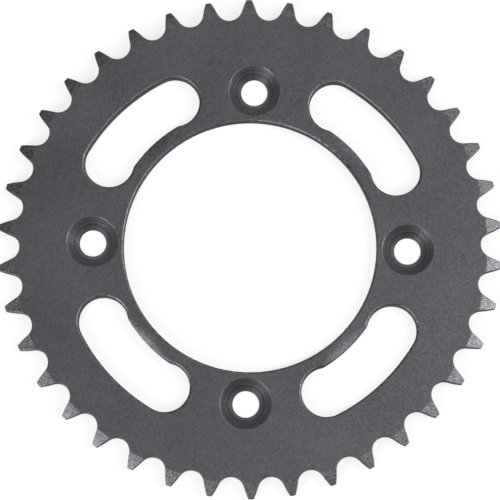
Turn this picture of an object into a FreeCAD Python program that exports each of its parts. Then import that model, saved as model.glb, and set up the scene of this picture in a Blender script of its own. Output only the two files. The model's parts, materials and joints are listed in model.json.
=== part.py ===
"""Rear sprocket: one flat steel plate with teeth, a centre bore, four
countersunk bolt holes and four curved windows.

Frame: the plate lies flat with its axis along +Z, the hub face at z = 0 and the
countersunk face on top. The origin is the centre of the bore at the hub face.
"""
import FreeCAD, Part
import math
import os
import Sketcher

Vector = FreeCAD.Vector
Rotation = FreeCAD.Rotation
Placement = FreeCAD.Placement
Constraint = Sketcher.Constraint

# Point positions and fixed axes as the sketcher numbers them.
START, END, CENTRE = 1, 2, 3
X_AXIS = -1
ORIGIN = (-1, 1)
CLOSE = 1e-3  # millimetres within which an edge counts as being at its place

# alias, value, meaning; in millimetres, degrees or a count
SIZES = [
    ("tooth_count", 38, "number of teeth"),
    ("chain_pitch", 15.875, "pitch of the chain"),
    ("roller_diameter", 10.16, "diameter of the chain's rollers"),
    ("seat_clearance", 0.17, "added to the roller's radius at the bottom of a gap"),
    ("seat_half_angle", 68.6, "half of the arc that seats the roller"),
    ("flank_radius", 39.0, "convex flank above the roller seat"),
    ("tooth_addendum", 3.4, "tooth tip above the pitch circle"),
    ("tooth_phase", -2.97, "direction of the first tooth from +X"),
    ("tip_round", 0.4, "rounding of the corners at a tooth's tip"),
    ("plate_thickness", 5.8, "face to face"),
    ("bevel_width", 6.0, "radial width of the relief on both sides of the teeth"),
    ("bevel_depth", 1.5, "depth of the relief at the tip"),
    ("bevel_radius", 40.0, "curvature of the relief"),
    ("bore_diameter", 100.0, "centre bore, which sits on the hub's spigot"),
    ("bore_front_round", 0.7, "rolled edge of the bore on the front"),
    ("bore_back_chamfer", 0.5, "lead-in of the bore on the hub face"),
    ("bolt_count", 4, "number of bolt holes"),
    ("bolt_land", 12.3, "bore wall to the bolt circle"),
    ("bolt_hole_diameter", 10.5, "clearance for a 10 mm bolt"),
    ("countersink_diameter", 20.3, "rim of the countersink"),
    ("countersink_angle", 90.0, "full angle of the countersink"),
    ("window_count", 4, "number of curved windows"),
    ("window_phase", 44.78, "direction of the first window from +X"),
    ("window_half_angle", 15.85, "window's centre line to its end circles"),
    ("web_width", 5.95, "bore wall to a window's inner edge"),
    ("rim_width", 16.2, "window's outer edge to the bottom of the teeth"),
    ("end_bulge", 0.7, "how far an end circle passes inside the inner edge"),
    ("end_blend", 4.0, "blend from an end circle to the inner edge"),
    ("window_front_round", 0.9, "rolled edge of a window on the front"),
    ("window_back_chamfer", 0.3, "edge break of a window on the hub face"),
    ("slope_width", 4.9, "strip of the web that is pulled down beside a window"),
    ("slope_radius", 16.0, "curvature of the strip"),
    ("slope_half_sweep", 24.5, "half of the strip's sweep about its own axis"),
    ("slope_axis_offset", 28.4, "window's inner edge to the strip's axis"),
    ("slope_lift", 0.03, "height of the strip's cutter above the front face"),
    ("edge_break", 0.25, "width of the small edge breaks"),
    ("margin", 1.0, "how far a cutter stands clear of what it cuts"),
]

# Formulas over the sheet. Each one drives constraints and gives starting sizes.
THICKNESS = "sizes.plate_thickness"
PITCH_RADIUS = "sizes.chain_pitch / (2 * sin(180 / sizes.tooth_count))"
ROOT_RADIUS = f"({PITCH_RADIUS} - sizes.roller_diameter / 2)"
TIP_RADIUS = f"({PITCH_RADIUS} + sizes.tooth_addendum)"
SEAT_RADIUS = "(sizes.roller_diameter / 2 + sizes.seat_clearance)"
SEAT_CENTRE = f"({ROOT_RADIUS} + {SEAT_RADIUS})"
GAP_DIRECTION = "sizes.tooth_phase + 180 / sizes.tooth_count"
BORE_RADIUS = "(sizes.bore_diameter / 2)"
BOLT_RADIUS = f"({BORE_RADIUS} + sizes.bolt_land)"
INNER_EDGE = f"({BORE_RADIUS} + sizes.web_width)"
OUTER_EDGE = f"({ROOT_RADIUS} - sizes.rim_width)"
END_RADIUS = f"(({OUTER_EDGE} - {INNER_EDGE} + sizes.end_bulge) / 2)"
END_CENTRE = f"({OUTER_EDGE} - {END_RADIUS})"

doc = FreeCAD.newDocument("rear_sprocket")
sheet = doc.addObject("Spreadsheet::Sheet", "sizes")
for row, (alias, number, meaning) in enumerate(SIZES, start=1):
    sheet.set(f"A{row}", alias)
    sheet.set(f"B{row}", str(number))
    sheet.setAlias(f"B{row}", alias)
    sheet.set(f"C{row}", meaning)
doc.recompute()


def size(formula):
    """The present value of a formula over the sheet."""
    return float(sheet.evalExpression(formula))


def polar(radius, angle):
    """The point at a radius and an angle in degrees."""
    turn = math.radians(angle)
    return Vector(radius * math.cos(turn), radius * math.sin(turn), 0)


def new_sketch(body, name, plane="XY_Plane", offset=Placement()):
    """A sketch on one of the body's own origin planes."""
    sketch = body.newObject("Sketcher::SketchObject", name)
    planes = [part for part in body.Origin.OriginFeatures if part.Role == plane]
    sketch.AttachmentSupport = [(planes[0], "")]
    sketch.MapMode = "FlatFace"
    sketch.AttachmentOffset = offset
    return sketch


def dimension(sketch, name, kind, targets, formula):
    """A named dimension that follows a formula over the sheet."""
    if kind == "Angle":
        start_value = math.radians(size(formula))
        formula = f"({formula}) * 1 deg"
    else:
        start_value = size(formula)
    index = sketch.addConstraint(Constraint(kind, *targets, start_value))
    sketch.renameConstraint(index, name)
    sketch.setExpression(f"Constraints.{name}", formula)


def add_arc(sketch, centre, radius, first, last):
    """An arc from the first angle anticlockwise to the last, in degrees."""
    circle = Part.Circle(centre, Vector(0, 0, 1), radius)
    return sketch.addGeometry(Part.ArcOfCircle(circle, math.radians(first), math.radians(last)))


def add_chain(sketch, points):
    """Straight lines from point to point, joined end to start."""
    lines = [sketch.addGeometry(Part.LineSegment(a, b)) for a, b in zip(points, points[1:])]
    for first, second in zip(lines, lines[1:]):
        sketch.addConstraint(Constraint("Coincident", first, END, second, START))
    return lines


def join(sketch, first, second):
    """Ties two points, each given as a geometry number and a position."""
    sketch.addConstraint(Constraint("Coincident", *first, *second))


def centred_circle(body, name, diameter):
    """A sketch of one circle about the plate's axis."""
    sketch = new_sketch(body, name)
    circle = sketch.addGeometry(Part.Circle(Vector(), Vector(0, 0, 1), size(diameter) / 2))
    join(sketch, (circle, CENTRE), ORIGIN)
    dimension(sketch, "diameter", "Diameter", [circle], diameter)
    return sketch


def through_pocket(body, name, sketch):
    """Cuts a sketch on the hub face up through the whole plate."""
    pocket = body.newObject("PartDesign::Pocket", name)
    pocket.Profile = sketch
    pocket.Type = "ThroughAll"
    pocket.Reversed = True
    return pocket


def repeat(body, name, feature, sketch, count):
    """Repeats a feature evenly about the plate's axis."""
    pattern = body.newObject("PartDesign::PolarPattern", name)
    pattern.Originals = [feature]
    pattern.Axis = (sketch, ["N_Axis"])
    pattern.Angle = 360
    pattern.setExpression("Occurrences", count)
    body.Tip = pattern
    return pattern


def round_edges(body, name, pick, radius):
    """Fillets the edges that pick(shape) chooses from the body as it stands."""
    dress(body, "PartDesign::Fillet", name, pick).setExpression("Radius", radius)


def break_edges(body, name, pick, width):
    """Chamfers the edges that pick(shape) chooses from the body as it stands."""
    dress(body, "PartDesign::Chamfer", name, pick).setExpression("Size", width)


def dress(body, kind, name, pick):
    """A fillet or chamfer on some edges of the last feature."""
    doc.recompute()
    base = body.Tip
    chosen = pick(base.Shape)
    numbers = [i for i, edge in enumerate(base.Shape.Edges, start=1)
               if any(edge.isSame(other) for other in chosen)]
    feature = body.newObject(kind, name)
    feature.Base = (base, [f"Edge{i}" for i in numbers])
    body.Tip = feature
    return feature


# ---------------------------------------------------------------- the plate

def add_blank(body):
    """The round blank, as wide as the teeth."""
    blank = body.newObject("PartDesign::Pad", "blank")
    blank.Profile = centred_circle(body, "blank_outline", f"2 * {TIP_RADIUS}")
    blank.setExpression("Length", THICKNESS)
    body.Tip = blank


def add_tooth_relief(body, side, offset):
    """Thins the teeth towards their tips on one side of the plate.

    The sketch's x is the radius and its y is the depth into the plate.
    """
    sketch = new_sketch(body, f"relief_outline_{side}", "XZ_Plane", offset)
    if side == "front":
        sketch.setExpression("AttachmentOffset.Base.y", THICKNESS)
    tip = size(TIP_RADIUS)
    start = tip - size("sizes.bevel_width")
    depth = size("sizes.bevel_depth")
    radius = size("sizes.bevel_radius")
    margin = size("sizes.margin")
    inner, outer = Vector(start, 0, 0), Vector(tip, depth, 0)
    chord = outer - inner
    away = Vector(-chord.y, chord.x, 0).normalize()
    centre = (inner + outer) / 2 + away * math.sqrt(radius**2 - (chord.Length / 2) ** 2)
    first = math.degrees(math.atan2(inner.y - centre.y, inner.x - centre.x))
    last = math.degrees(math.atan2(outer.y - centre.y, outer.x - centre.x))
    curve = add_arc(sketch, centre, radius, first, last)
    lines = add_chain(sketch, [
        outer,
        Vector(tip + margin, depth, 0),
        Vector(tip + margin, -margin, 0),
        Vector(start, -margin, 0),
        inner,
    ])
    join(sketch, (curve, END), (lines[0], START))
    join(sketch, (lines[3], END), (curve, START))
    for line, direction in zip(lines, ["Horizontal", "Vertical", "Horizontal", "Vertical"]):
        sketch.addConstraint(Constraint(direction, line))
    sketch.addConstraint(Constraint("PointOnObject", curve, START, X_AXIS))
    dimension(sketch, "relief_start", "DistanceX", [*ORIGIN, curve, START],
              f"{TIP_RADIUS} - sizes.bevel_width")
    dimension(sketch, "relief_end", "DistanceX", [*ORIGIN, curve, END], TIP_RADIUS)
    dimension(sketch, "relief_depth", "DistanceY", [*ORIGIN, curve, END], "sizes.bevel_depth")
    dimension(sketch, "relief_curve", "Radius", [curve], "sizes.bevel_radius")
    dimension(sketch, "outer_margin", "Distance", [lines[0]], "sizes.margin")
    dimension(sketch, "face_margin", "Distance", [lines[3]], "sizes.margin")
    groove = body.newObject("PartDesign::Groove", f"relief_{side}")
    groove.Profile = sketch
    groove.ReferenceAxis = (sketch, ["V_Axis"])
    groove.Angle = 360
    body.Tip = groove


def add_teeth(body):
    """Cuts one gap between two teeth and repeats it.

    The sketch's x runs out along the middle of the gap: a seat for the roller,
    and on each side a convex flank that leaves it without a corner.
    """
    sketch = new_sketch(body, "gap_outline")
    sketch.setExpression("AttachmentOffset.Rotation.Angle", GAP_DIRECTION)
    seat = size(SEAT_RADIUS)
    middle = Vector(size(SEAT_CENTRE), 0, 0)
    half = size("sizes.seat_half_angle")
    flank = size("sizes.flank_radius")
    reach = size(TIP_RADIUS) + size("sizes.margin")
    upper = middle + polar(seat + flank, 180 - half)
    lower = Vector(upper.x, -upper.y, 0)
    swing = math.degrees(math.acos((reach - upper.x) / flank))
    bottom = add_arc(sketch, middle, seat, 180 - half, 180 + half)
    top_side = add_arc(sketch, upper, flank, -half, -swing)
    low_side = add_arc(sketch, lower, flank, swing, half)
    top_end = upper + polar(flank, -swing)
    low_end = lower + polar(flank, swing)
    close = sketch.addGeometry(Part.LineSegment(top_end, low_end))
    sketch.addConstraint(Constraint("PointOnObject", bottom, CENTRE, X_AXIS))
    sketch.addConstraint(Constraint("Tangent", bottom, START, top_side, START))
    sketch.addConstraint(Constraint("Tangent", bottom, END, low_side, END))
    sketch.addConstraint(Constraint("Vertical", bottom, START, bottom, END))
    sketch.addConstraint(Constraint("Equal", top_side, low_side))
    join(sketch, (top_side, END), (close, START))
    join(sketch, (low_side, START), (close, END))
    sketch.addConstraint(Constraint("Vertical", close))
    spoke = sketch.addGeometry(Part.LineSegment(middle, middle + polar(seat, 180 - half)), True)
    join(sketch, (spoke, START), (bottom, CENTRE))
    join(sketch, (spoke, END), (bottom, START))
    dimension(sketch, "seat_angle", "Angle", [spoke], "180 - sizes.seat_half_angle")
    dimension(sketch, "seat_centre", "DistanceX", [*ORIGIN, bottom, CENTRE], SEAT_CENTRE)
    dimension(sketch, "seat_radius", "Radius", [bottom], SEAT_RADIUS)
    dimension(sketch, "flank_radius", "Radius", [top_side], "sizes.flank_radius")
    dimension(sketch, "reach", "DistanceX", [*ORIGIN, top_side, END],
              f"{TIP_RADIUS} + sizes.margin")
    gap = through_pocket(body, "gap", sketch)
    repeat(body, "gaps", gap, sketch, "sizes.tooth_count")


def add_bore(body):
    """The centre bore."""
    sketch = centred_circle(body, "bore_outline", "sizes.bore_diameter")
    body.Tip = through_pocket(body, "bore", sketch)


def add_bolt_holes(body):
    """Countersunk through holes on a circle, the first one on +X."""
    sketch = new_sketch(body, "bolt_hole_centre")
    sketch.setExpression("AttachmentOffset.Base.z", THICKNESS)
    place = Vector(size(BOLT_RADIUS), 0, 0)
    radius = size("sizes.bolt_hole_diameter") / 2
    circle = sketch.addGeometry(Part.Circle(place, Vector(0, 0, 1), radius))
    sketch.addConstraint(Constraint("PointOnObject", circle, CENTRE, X_AXIS))
    dimension(sketch, "bolt_radius", "DistanceX", [*ORIGIN, circle, CENTRE], BOLT_RADIUS)
    dimension(sketch, "diameter", "Diameter", [circle], "sizes.bolt_hole_diameter")
    doc.recompute()
    hole = body.newObject("PartDesign::Hole", "bolt_hole")
    hole.Profile = sketch
    doc.recompute()
    hole.DepthType = "ThroughAll"
    hole.HoleCutType = "Countersink"
    hole.HoleCutCustomValues = True
    hole.setExpression("Diameter", "sizes.bolt_hole_diameter")
    hole.setExpression("HoleCutDiameter", "sizes.countersink_diameter")
    hole.setExpression("HoleCutCountersinkAngle", "sizes.countersink_angle")
    repeat(body, "bolt_holes", hole, sketch, "sizes.bolt_count")


def add_windows(body):
    """Cuts one curved window and repeats it.

    The sketch's x runs out along the window's centre line. The end circles
    touch the outer edge and pass a little inside the inner edge.
    """
    sketch = new_sketch(body, "window_outline")
    sketch.setExpression("AttachmentOffset.Rotation.Angle", "sizes.window_phase")
    half = size("sizes.window_half_angle")
    inner, outer = size(INNER_EDGE), size(OUTER_EDGE)
    centre_radius, end_radius = size(END_CENTRE), size(END_RADIUS)
    between = (inner**2 + centre_radius**2 - end_radius**2) / (2 * inner * centre_radius)
    meet = half - math.degrees(math.acos(between))
    top_centre, low_centre = polar(centre_radius, half), polar(centre_radius, -half)
    top_meet = polar(inner, meet) - top_centre
    turn = math.degrees(math.atan2(top_meet.y, top_meet.x)) % 360
    outer_arc = add_arc(sketch, Vector(), outer, -half, half)
    top_arc = add_arc(sketch, top_centre, end_radius, half, turn)
    inner_arc = add_arc(sketch, Vector(), inner, -meet, meet)
    low_arc = add_arc(sketch, low_centre, end_radius, -turn, -half)
    join(sketch, (outer_arc, CENTRE), ORIGIN)
    join(sketch, (inner_arc, CENTRE), ORIGIN)
    sketch.addConstraint(Constraint("Tangent", outer_arc, END, top_arc, START))
    sketch.addConstraint(Constraint("Tangent", low_arc, END, outer_arc, START))
    join(sketch, (top_arc, END), (inner_arc, END))
    join(sketch, (low_arc, START), (inner_arc, START))
    spokes = []
    for arc, centre in ((top_arc, top_centre), (low_arc, low_centre)):
        spoke = sketch.addGeometry(Part.LineSegment(Vector(), centre), True)
        join(sketch, (spoke, START), ORIGIN)
        join(sketch, (spoke, END), (arc, CENTRE))
        spokes.append(spoke)
    sketch.addConstraint(Constraint("Equal", *spokes))
    dimension(sketch, "top_angle", "Angle", [spokes[0]], "sizes.window_half_angle")
    dimension(sketch, "low_angle", "Angle", [spokes[1]], "-sizes.window_half_angle")
    dimension(sketch, "end_centre", "Distance", [spokes[0]], END_CENTRE)
    dimension(sketch, "outer_edge", "Radius", [outer_arc], OUTER_EDGE)
    dimension(sketch, "inner_edge", "Radius", [inner_arc], INNER_EDGE)
    window = through_pocket(body, "window", sketch)
    repeat(body, "windows", window, sketch, "sizes.window_count")


def add_slopes(body):
    """Pulls the web down beside each window, most at the window's middle.

    The strip is turned about an axis of its own, beyond the window, so that it
    runs out before the window's ends. The sketch's x runs out along the
    window's centre line and its y is the height over the hub face.
    """
    sketch = new_sketch(body, "slope_outline", "XZ_Plane",
                        Placement(Vector(), Rotation(Vector(0, 1, 0), 1)))
    sketch.setExpression("AttachmentOffset.Rotation.Angle", "sizes.window_phase")
    top = size(THICKNESS) + size("sizes.slope_lift")
    start = size(INNER_EDGE) - size("sizes.slope_width")
    radius = size("sizes.slope_radius")
    end = size(INNER_EDGE) + 2 * size("sizes.margin")
    margin = size("sizes.margin")
    axis = size(INNER_EDGE) + size("sizes.slope_axis_offset")
    centre = Vector(start, top - radius, 0)
    last = math.degrees(math.acos((end - start) / radius))
    foot = centre + polar(radius, last)
    curve = add_arc(sketch, centre, radius, last, 90)
    lines = add_chain(sketch, [
        Vector(start, top, 0),
        Vector(start, top + margin, 0),
        Vector(end, top + margin, 0),
        foot,
    ])
    join(sketch, (curve, END), (lines[0], START))
    join(sketch, (lines[2], END), (curve, START))
    for line, direction in zip(lines, ["Vertical", "Horizontal", "Vertical"]):
        sketch.addConstraint(Constraint(direction, line))
    sketch.addConstraint(Constraint("Vertical", curve, CENTRE, curve, END))
    dimension(sketch, "slope_start", "DistanceX", [*ORIGIN, curve, END],
              f"{INNER_EDGE} - sizes.slope_width")
    dimension(sketch, "slope_top", "DistanceY", [*ORIGIN, curve, END],
              f"{THICKNESS} + sizes.slope_lift")
    dimension(sketch, "slope_radius", "Radius", [curve], "sizes.slope_radius")
    dimension(sketch, "slope_end", "DistanceX", [*ORIGIN, curve, START],
              f"{INNER_EDGE} + 2 * sizes.margin")
    dimension(sketch, "face_margin", "Distance", [lines[0]], "sizes.margin")
    pivot = sketch.addGeometry(Part.LineSegment(Vector(axis, 0, 0), Vector(axis, top, 0)), True)
    sketch.addConstraint(Constraint("Vertical", pivot))
    sketch.addConstraint(Constraint("PointOnObject", pivot, START, X_AXIS))
    dimension(sketch, "axis_place", "DistanceX", [*ORIGIN, pivot, START],
              f"{INNER_EDGE} + sizes.slope_axis_offset")
    dimension(sketch, "axis_length", "Distance", [pivot], THICKNESS)
    groove = body.newObject("PartDesign::Groove", "slope")
    groove.Profile = sketch
    groove.ReferenceAxis = (sketch, ["Axis0"])
    groove.Midplane = True
    groove.setExpression("Angle", "2 * sizes.slope_half_sweep")
    repeat(body, "slopes", groove, body.getObject("window_outline"), "sizes.window_count")


# ------------------------------------------------------- edges, by their place

def middle_of(edge):
    """The point half-way along an edge."""
    first, last = edge.ParameterRange
    return edge.valueAt((first + last) / 2)


def lies_at(edge, height):
    """Whether an edge lies level at a height."""
    box = edge.BoundBox
    return abs(box.ZMin - height) < CLOSE and abs(box.ZMax - height) < CLOSE


def radius_of(edge):
    """Distance of an edge's middle from the plate's axis."""
    point = middle_of(edge)
    return math.hypot(point.x, point.y)


def is_upright(edge):
    """Whether an edge runs straight along the plate's axis."""
    return isinstance(edge.Curve, Part.Line) and abs(edge.Curve.Direction.z) > 1 - 1e-9


def is_bolt_rim(edge):
    """Whether an edge is a circle about a bolt hole's axis."""
    if not isinstance(edge.Curve, Part.Circle):
        return False
    centre = edge.Curve.Center
    return abs(math.hypot(centre.x, centre.y) - size(BOLT_RADIUS)) < CLOSE


def bore_rim(height):
    """Picks the bore's edge at a height."""
    return lambda shape: [edge for edge in shape.Edges
                          if lies_at(edge, height)
                          and abs(radius_of(edge) - size(BORE_RADIUS)) < CLOSE]


def window_rims(height):
    """Picks the windows' edges at a height."""
    return lambda shape: [edge for edge in shape.Edges
                          if lies_at(edge, height) and not is_bolt_rim(edge)
                          and size(BORE_RADIUS) + CLOSE < radius_of(edge)
                          < size(OUTER_EDGE) + CLOSE]


def upright_edges(radius):
    """Picks the upright edges at a distance from the plate's axis."""
    return lambda shape: [edge for edge in shape.Edges
                          if is_upright(edge) and abs(radius_of(edge) - size(radius)) < CLOSE]


def bolt_rims(height):
    """Picks the bolt holes' edges at a height."""
    return lambda shape: [edge for edge in shape.Edges
                          if lies_at(edge, height) and is_bolt_rim(edge)]


def soften_edges(body):
    """Blends in the windows, rolled edges on the front, edge breaks elsewhere."""
    front = size(THICKNESS)
    round_edges(body, "end_blends", upright_edges(INNER_EDGE), "sizes.end_blend")
    round_edges(body, "window_front_edges", window_rims(front), "sizes.window_front_round")
    break_edges(body, "window_back_edges", window_rims(0), "sizes.window_back_chamfer")
    round_edges(body, "bore_front_edge", bore_rim(front), "sizes.bore_front_round")
    break_edges(body, "bore_back_edge", bore_rim(0), "sizes.bore_back_chamfer")
    break_edges(body, "bolt_hole_back_edges", bolt_rims(0), "sizes.edge_break")
    round_edges(body, "tip_corners", upright_edges(TIP_RADIUS), "sizes.tip_round")


def build_plate():
    """The whole sprocket, feature by feature."""
    body = doc.addObject("PartDesign::Body", "sprocket_plate")
    body.Label = "sprocket_plate"
    add_blank(body)
    add_tooth_relief(body, "front", Placement(Vector(), Rotation(Vector(1, 0, 0), 180)))
    add_tooth_relief(body, "back", Placement())
    add_teeth(body)
    add_bore(body)
    add_bolt_holes(body)
    add_windows(body)
    soften_edges(body)
    add_slopes(body)
    doc.recompute()
    return body


def check_and_write(bodies):
    """Stops if anything failed, then writes one STEP file for each body."""
    failed = [item.Name for item in doc.Objects
              if "Invalid" in item.State or "Error" in item.State]
    failed += [body.Label for body in bodies
               if body.Shape.isNull() or not body.Shape.isValid()]
    if failed:
        raise RuntimeError("failed: " + ", ".join(failed))
    os.makedirs("parts", exist_ok=True)
    for body in bodies:
        body.Shape.exportStep(f"parts/{body.Label}.step")
        box = body.Shape.optimalBoundingBox()
        print(body.Label, f"{box.XLength:.2f} x {box.YLength:.2f} x {box.ZLength:.2f} mm,",
              f"{len(body.Shape.Solids)} solid, {body.Shape.Volume:.0f} mm3")


check_and_write([build_plate()])
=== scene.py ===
"""A rear sprocket lying on a pale floor, seen almost straight from above."""
import json
import math

import bpy
from mathutils import Matrix, Vector


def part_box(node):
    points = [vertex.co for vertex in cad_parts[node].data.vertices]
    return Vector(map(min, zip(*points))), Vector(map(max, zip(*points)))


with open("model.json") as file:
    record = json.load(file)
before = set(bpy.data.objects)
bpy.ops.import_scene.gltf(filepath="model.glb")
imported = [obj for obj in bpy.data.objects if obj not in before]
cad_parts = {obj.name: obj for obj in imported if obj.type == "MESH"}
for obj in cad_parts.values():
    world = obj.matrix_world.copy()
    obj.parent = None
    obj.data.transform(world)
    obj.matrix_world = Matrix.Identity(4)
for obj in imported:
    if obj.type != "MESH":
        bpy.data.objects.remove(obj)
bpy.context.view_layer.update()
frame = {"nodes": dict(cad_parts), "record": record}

# Sizes from the frame, in metres.
LOW, HIGH = (Vector(corner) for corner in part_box("sprocket_plate"))
FRONT_FACE = HIGH.z
MOUNTS = {mount["name"]: mount for mount in frame["record"]["mounts"]}
BOLT_RADIUS = MOUNTS["bolt_circle"]["dims"]["pcd_mm"] / 2000

# The camera: angles in degrees and lengths in metres.
VIEW_TILT = 7.88
VIEW_SIDE = 0.36
VIEW_ROLL = 1.54
VIEW_DISTANCE = 0.99976
VIEW_DROP = 0.0016946
LENS = 182.52
SENSOR = 36.0

# The lamps: name, azimuth and angle from the vertical in degrees, and watts.
LAMPS = [
    ("key_lamp", 225.0, 52.0, 7.4),
    ("key_lamp_upper", 225.0, 34.0, 2.5),
    ("side_lamp", 0.0, 52.0, 6.1),
    ("side_lamp_upper", 0.0, 34.0, 4.1),
    ("front_lamp", 315.0, 40.0, 1.1),
    ("back_lamp", 90.0, 34.0, 1.3),
    ("corner_lamp", 45.0, 52.0, 1.2),
    ("top_lamp", 0.0, 0.0, 0.5),
]
LAMP_DISTANCE = 1.2
LAMP_SIDE = 0.35
WORLD_STRENGTH = 0.27

# The floor: its paint, and how much of its white is plain glow to the camera and in reflections.
FLOOR_PAINT = (0.2, 0.2, 0.2, 1.0)
GLOW_SEEN = 0.77
GLOW_REFLECTED = 1.0

# The steel's finish, with its painted light and shade: lengths in metres, and each gain is a share
# of the steel's own colour.
STEEL_COLOUR = (0.096, 0.099, 0.106)
EDGE_TINT = (0.35, 0.35, 0.36, 1.0)
FINE_SIZE = 0.0005
SPECK_SIZE = 0.0013
CLOUD_SIZE = 0.03
RING_PITCH = 0.0007
GRAIN_HEIGHT = 0.00006
EDGE_WEAR = 0.0005
CONE_RADIUS = 0.01015
CONE_FADE = 0.00005
# Lighter countersink: partly its cut surface, partly painted reflection.
CONE_CUT_AND_SHEEN_GAIN = 0.5
# Painted highlight streaks along the countersink rings.
RING_MARKS_AND_HIGHLIGHT_GAIN = 3.5
# Painted highlight on the slopes.
SLANT_PAINTED_HIGHLIGHT = 0.16
SLANT_GRAIN = 3.2
WORN_GAIN = 0.30
# Darker at the very edge of a rim.
RIM_TONE = 0.55
# Painted shade on the walls.
WALL_PAINTED_SHADE = 0.9
FLOOR_SIZE = 6.0
FLOOR_GAP = 0.00005


class Shader:
    """Builds one node material, a node at a time; inputs are values or other nodes' outputs."""

    def __init__(self, name):
        self.material = bpy.data.materials.new(name)
        self.material.use_nodes = True
        self.tree = self.material.node_tree
        self.tree.nodes.clear()

    def add(self, kind, inputs=None, **settings):
        node = self.tree.nodes.new(kind)
        for setting, value in settings.items():
            setattr(node, setting, value)
        for socket, value in (inputs or {}).items():
            self.feed(node.inputs[socket], value)
        return node

    def feed(self, socket, value):
        if isinstance(value, bpy.types.NodeSocket):
            self.tree.links.new(value, socket)
        else:
            socket.default_value = value

    def math(self, operation, *values):
        inputs = dict(enumerate(values))
        return self.add("ShaderNodeMath", inputs, operation=operation).outputs[0]

    def ramp(self, value, low, high, to_low=0.0, to_high=1.0):
        inputs = {
            "Value": value,
            "From Min": low,
            "From Max": high,
            "To Min": to_low,
            "To Max": to_high,
        }
        return self.add("ShaderNodeMapRange", inputs).outputs[0]

    def noise(self, place, size, detail=2.0):
        inputs = {"Vector": place, "Scale": 1 / size, "Detail": detail}
        return self.add("ShaderNodeTexNoise", inputs).outputs[0]

    def finish(self, surface):
        output = self.add("ShaderNodeOutputMaterial")
        self.tree.links.new(surface.outputs[0], output.inputs["Surface"])
        return self.material


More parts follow.
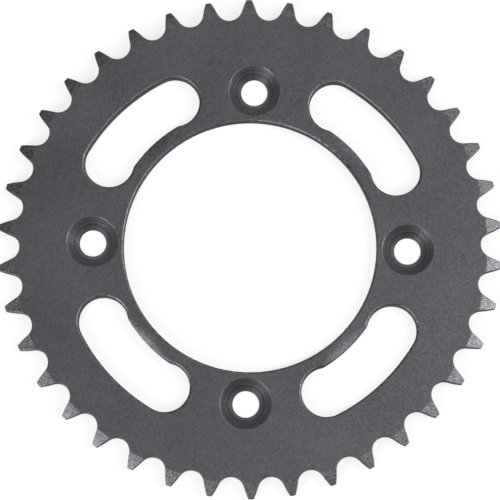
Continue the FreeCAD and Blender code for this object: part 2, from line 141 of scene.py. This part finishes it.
def dark_steel():
    """Satin dark steel: fine grain, painted shade on the sheared walls, turned rings in the
    countersinks drawn with painted highlight streaks, and painted highlight on the slopes.
    """
    s = Shader("dark_steel")
    place = s.add("ShaderNodeTexCoord").outputs["Object"]
    facing = s.add("ShaderNodeNewGeometry").outputs["True Normal"]
    x, y = s.add("ShaderNodeSeparateXYZ", {0: place}).outputs[:2]
    upward = s.math("ABSOLUTE", s.add("ShaderNodeSeparateXYZ", {0: facing}).outputs[2])
    fine = s.noise(place, FINE_SIZE, 3.0)
    speck = s.noise(place, SPECK_SIZE, 2.0)
    cloud = s.noise(place, CLOUD_SIZE, 3.0)

    # Distance from the nearest bolt hole, all four folded onto one.
    across = s.math("ABSOLUTE", x)
    along = s.math("ABSOLUTE", y)
    far = s.math("SUBTRACT", s.math("MAXIMUM", across, along), BOLT_RADIUS)
    near = s.math("MINIMUM", across, along)
    square = s.math("ADD", s.math("MULTIPLY", far, far), s.math("MULTIPLY", near, near))
    from_hole = s.math("SQRT", square)
    in_circle = s.ramp(from_hole, CONE_RADIUS + CONE_FADE, CONE_RADIUS - CONE_FADE)
    in_cone = s.math("MULTIPLY", in_circle, s.ramp(upward, 0.80, 0.75))
    # The countersink rings are turning marks drawn in colour, with painted highlight streaks along
    # them.
    along_ring = s.add("ShaderNodeCombineXYZ", {0: from_hole}).outputs[0]
    ring_marks_and_streaks = s.math("SUBTRACT", s.noise(along_ring, RING_PITCH, 3.0), 0.5)
    ring_marks_and_streaks = s.math("MULTIPLY", ring_marks_and_streaks, in_cone)

    # The ground tooth sides and the web slopes have a coarser grain than the flat face, and are
    # lighter by a painted highlight.
    slanted = s.math("MULTIPLY", s.ramp(upward, 0.997, 0.98), s.ramp(upward, 0.80, 0.88))

    # At a sharp rim the finish wears bright a little way in, and the colour is darker at the very
    # edge.
    rounded = s.add("ShaderNodeBevel", {"Radius": EDGE_WEAR}, samples=8).outputs[0]
    along_face = s.add("ShaderNodeVectorMath", {0: rounded, 1: facing}, operation="DOT_PRODUCT")
    along_face = along_face.outputs["Value"]
    edge = s.ramp(along_face, 0.95, 0.88)
    worn = s.math("MULTIPLY", s.ramp(along_face, 0.999, 0.975), s.ramp(speck, 0.40, 0.60))

    grain = s.math("ADD", s.ramp(fine, 0.3, 0.7, -0.24, 0.24), s.ramp(speck, 0.3, 0.7, -0.06, 0.06))
    grain = s.math("MULTIPLY", grain, s.ramp(slanted, 0.0, 1.0, 1.0, SLANT_GRAIN))
    tone = s.math("ADD", grain, s.ramp(cloud, 0.3, 0.7, 0.94, 1.06))
    # Painted highlight: the slopes are lighter than the flat face.
    tone = s.math("ADD", tone, s.math("MULTIPLY", slanted, SLANT_PAINTED_HIGHLIGHT))
    # Painted highlight streaks along the turned rings in the countersinks.
    tone = s.math("ADD", tone, s.math("MULTIPLY", ring_marks_and_streaks, RING_MARKS_AND_HIGHLIGHT_GAIN))
    # The countersink is lighter: partly its cut surface, partly painted reflection.
    tone = s.math("ADD", tone, s.math("MULTIPLY", in_cone, CONE_CUT_AND_SHEEN_GAIN))
    tone = s.math("ADD", tone, s.math("MULTIPLY", worn, WORN_GAIN))
    # Darker at the very edge of a rim.
    tone = s.math("MULTIPLY", tone, s.ramp(edge, 0.0, 1.0, 1.0, RIM_TONE))
    # Painted shade: the walls are darker than the faces.
    tone = s.math("MULTIPLY", tone, s.ramp(upward, 0.15, 0.4, WALL_PAINTED_SHADE, 1.0))
    colour = s.add(
        "ShaderNodeVectorMath",
        {0: STEEL_COLOUR, "Scale": tone},
        operation="SCALE",
    ).outputs[0]
    rough = s.math("ADD", s.ramp(fine, 0.3, 0.7, -0.05, 0.05), s.ramp(cloud, 0.3, 0.7, 0.40, 0.45))
    rough = s.math("SUBTRACT", rough, s.math("MULTIPLY", in_cone, 0.06))

    height = s.math("ADD", s.math("MULTIPLY", fine, 0.9), s.math("MULTIPLY", speck, 1.1))
    bump = s.add(
        "ShaderNodeBump",
        {"Height": height, "Strength": 1.0, "Distance": GRAIN_HEIGHT, "Normal": rounded},
    )
    surface = s.add(
        "ShaderNodeBsdfPrincipled",
        {
            "Base Color": colour,
            "Metallic": 1.0,
            "Roughness": rough,
            "Specular Tint": EDGE_TINT,
            "Normal": bump.outputs[0],
        },
    )
    return s.finish(surface)


def pale_floor():
    """White where it is seen or reflected, with the object's soft shadow kept on it."""
    s = Shader("pale_floor")
    rays = s.add("ShaderNodeLightPath").outputs
    seen = s.math("MULTIPLY", rays["Is Camera Ray"], GLOW_SEEN)
    mirrored = s.math("MAXIMUM", rays["Is Glossy Ray"], rays["Is Transmission Ray"])
    mirrored = s.math("MULTIPLY", mirrored, GLOW_REFLECTED)
    paint = s.add("ShaderNodeBsdfDiffuse", {"Color": FLOOR_PAINT})
    glow = s.add("ShaderNodeEmission", {"Strength": s.math("MAXIMUM", seen, mirrored)})
    return s.finish(s.add("ShaderNodeAddShader", {0: paint.outputs[0], 1: glow.outputs[0]}))


def lay_floor():
    bpy.ops.mesh.primitive_plane_add(size=FLOOR_SIZE, location=(0, 0, LOW.z - FLOOR_GAP))
    floor = bpy.context.object
    floor.name = "floor"
    floor.data.materials.append(pale_floor())


def white_world():
    """White to the camera, dim as a light."""
    world = bpy.data.worlds.new("studio")
    bpy.context.scene.world = world
    world.use_nodes = True
    tree = world.node_tree
    background = tree.nodes["Background"]
    background.inputs["Color"].default_value = (1.0, 1.0, 1.0, 1.0)
    rays = tree.nodes.new("ShaderNodeLightPath")
    choose = tree.nodes.new("ShaderNodeMapRange")
    choose.inputs["To Min"].default_value = WORLD_STRENGTH
    choose.inputs["To Max"].default_value = 1.0
    tree.links.new(rays.outputs["Is Camera Ray"], choose.inputs["Value"])
    tree.links.new(choose.outputs[0], background.inputs["Strength"])


def hang_lamp(name, azimuth, tilt, watts):
    lamp = bpy.data.lights.new(name, "AREA")
    lamp.size = LAMP_SIDE
    lamp.energy = watts
    turn, lean = math.radians(azimuth), math.radians(tilt)
    outward = math.sin(lean)
    towards = Vector((outward * math.cos(turn), outward * math.sin(turn), math.cos(lean)))
    holder = bpy.data.objects.new(name, lamp)
    holder.location = towards * LAMP_DISTANCE
    holder.rotation_euler = towards.to_track_quat("Z", "Y").to_euler()
    bpy.context.scene.collection.objects.link(holder)


def set_camera():
    camera = bpy.data.cameras.new("camera")
    camera.lens = LENS
    camera.sensor_width = SENSOR
    turn = (
        Matrix.Rotation(math.radians(VIEW_ROLL), 3, "Z")
        @ Matrix.Rotation(math.radians(VIEW_SIDE), 3, "Y")
        @ Matrix.Rotation(math.radians(VIEW_TILT), 3, "X")
    )
    holder = bpy.data.objects.new("camera", camera)
    eye = Vector((0, 0, FRONT_FACE)) + turn @ Vector((0, -VIEW_DROP, VIEW_DISTANCE))
    holder.matrix_world = Matrix.Translation(eye) @ turn.to_4x4()
    bpy.context.scene.collection.objects.link(holder)
    bpy.context.scene.camera = holder


plate = frame["nodes"]["sprocket_plate"]
steel = dark_steel()
for slot in plate.material_slots:
    slot.material = steel

lay_floor()
white_world()
for lamp in LAMPS:
    hang_lamp(*lamp)
set_camera()
bpy.context.scene.view_settings.view_transform = "Standard"
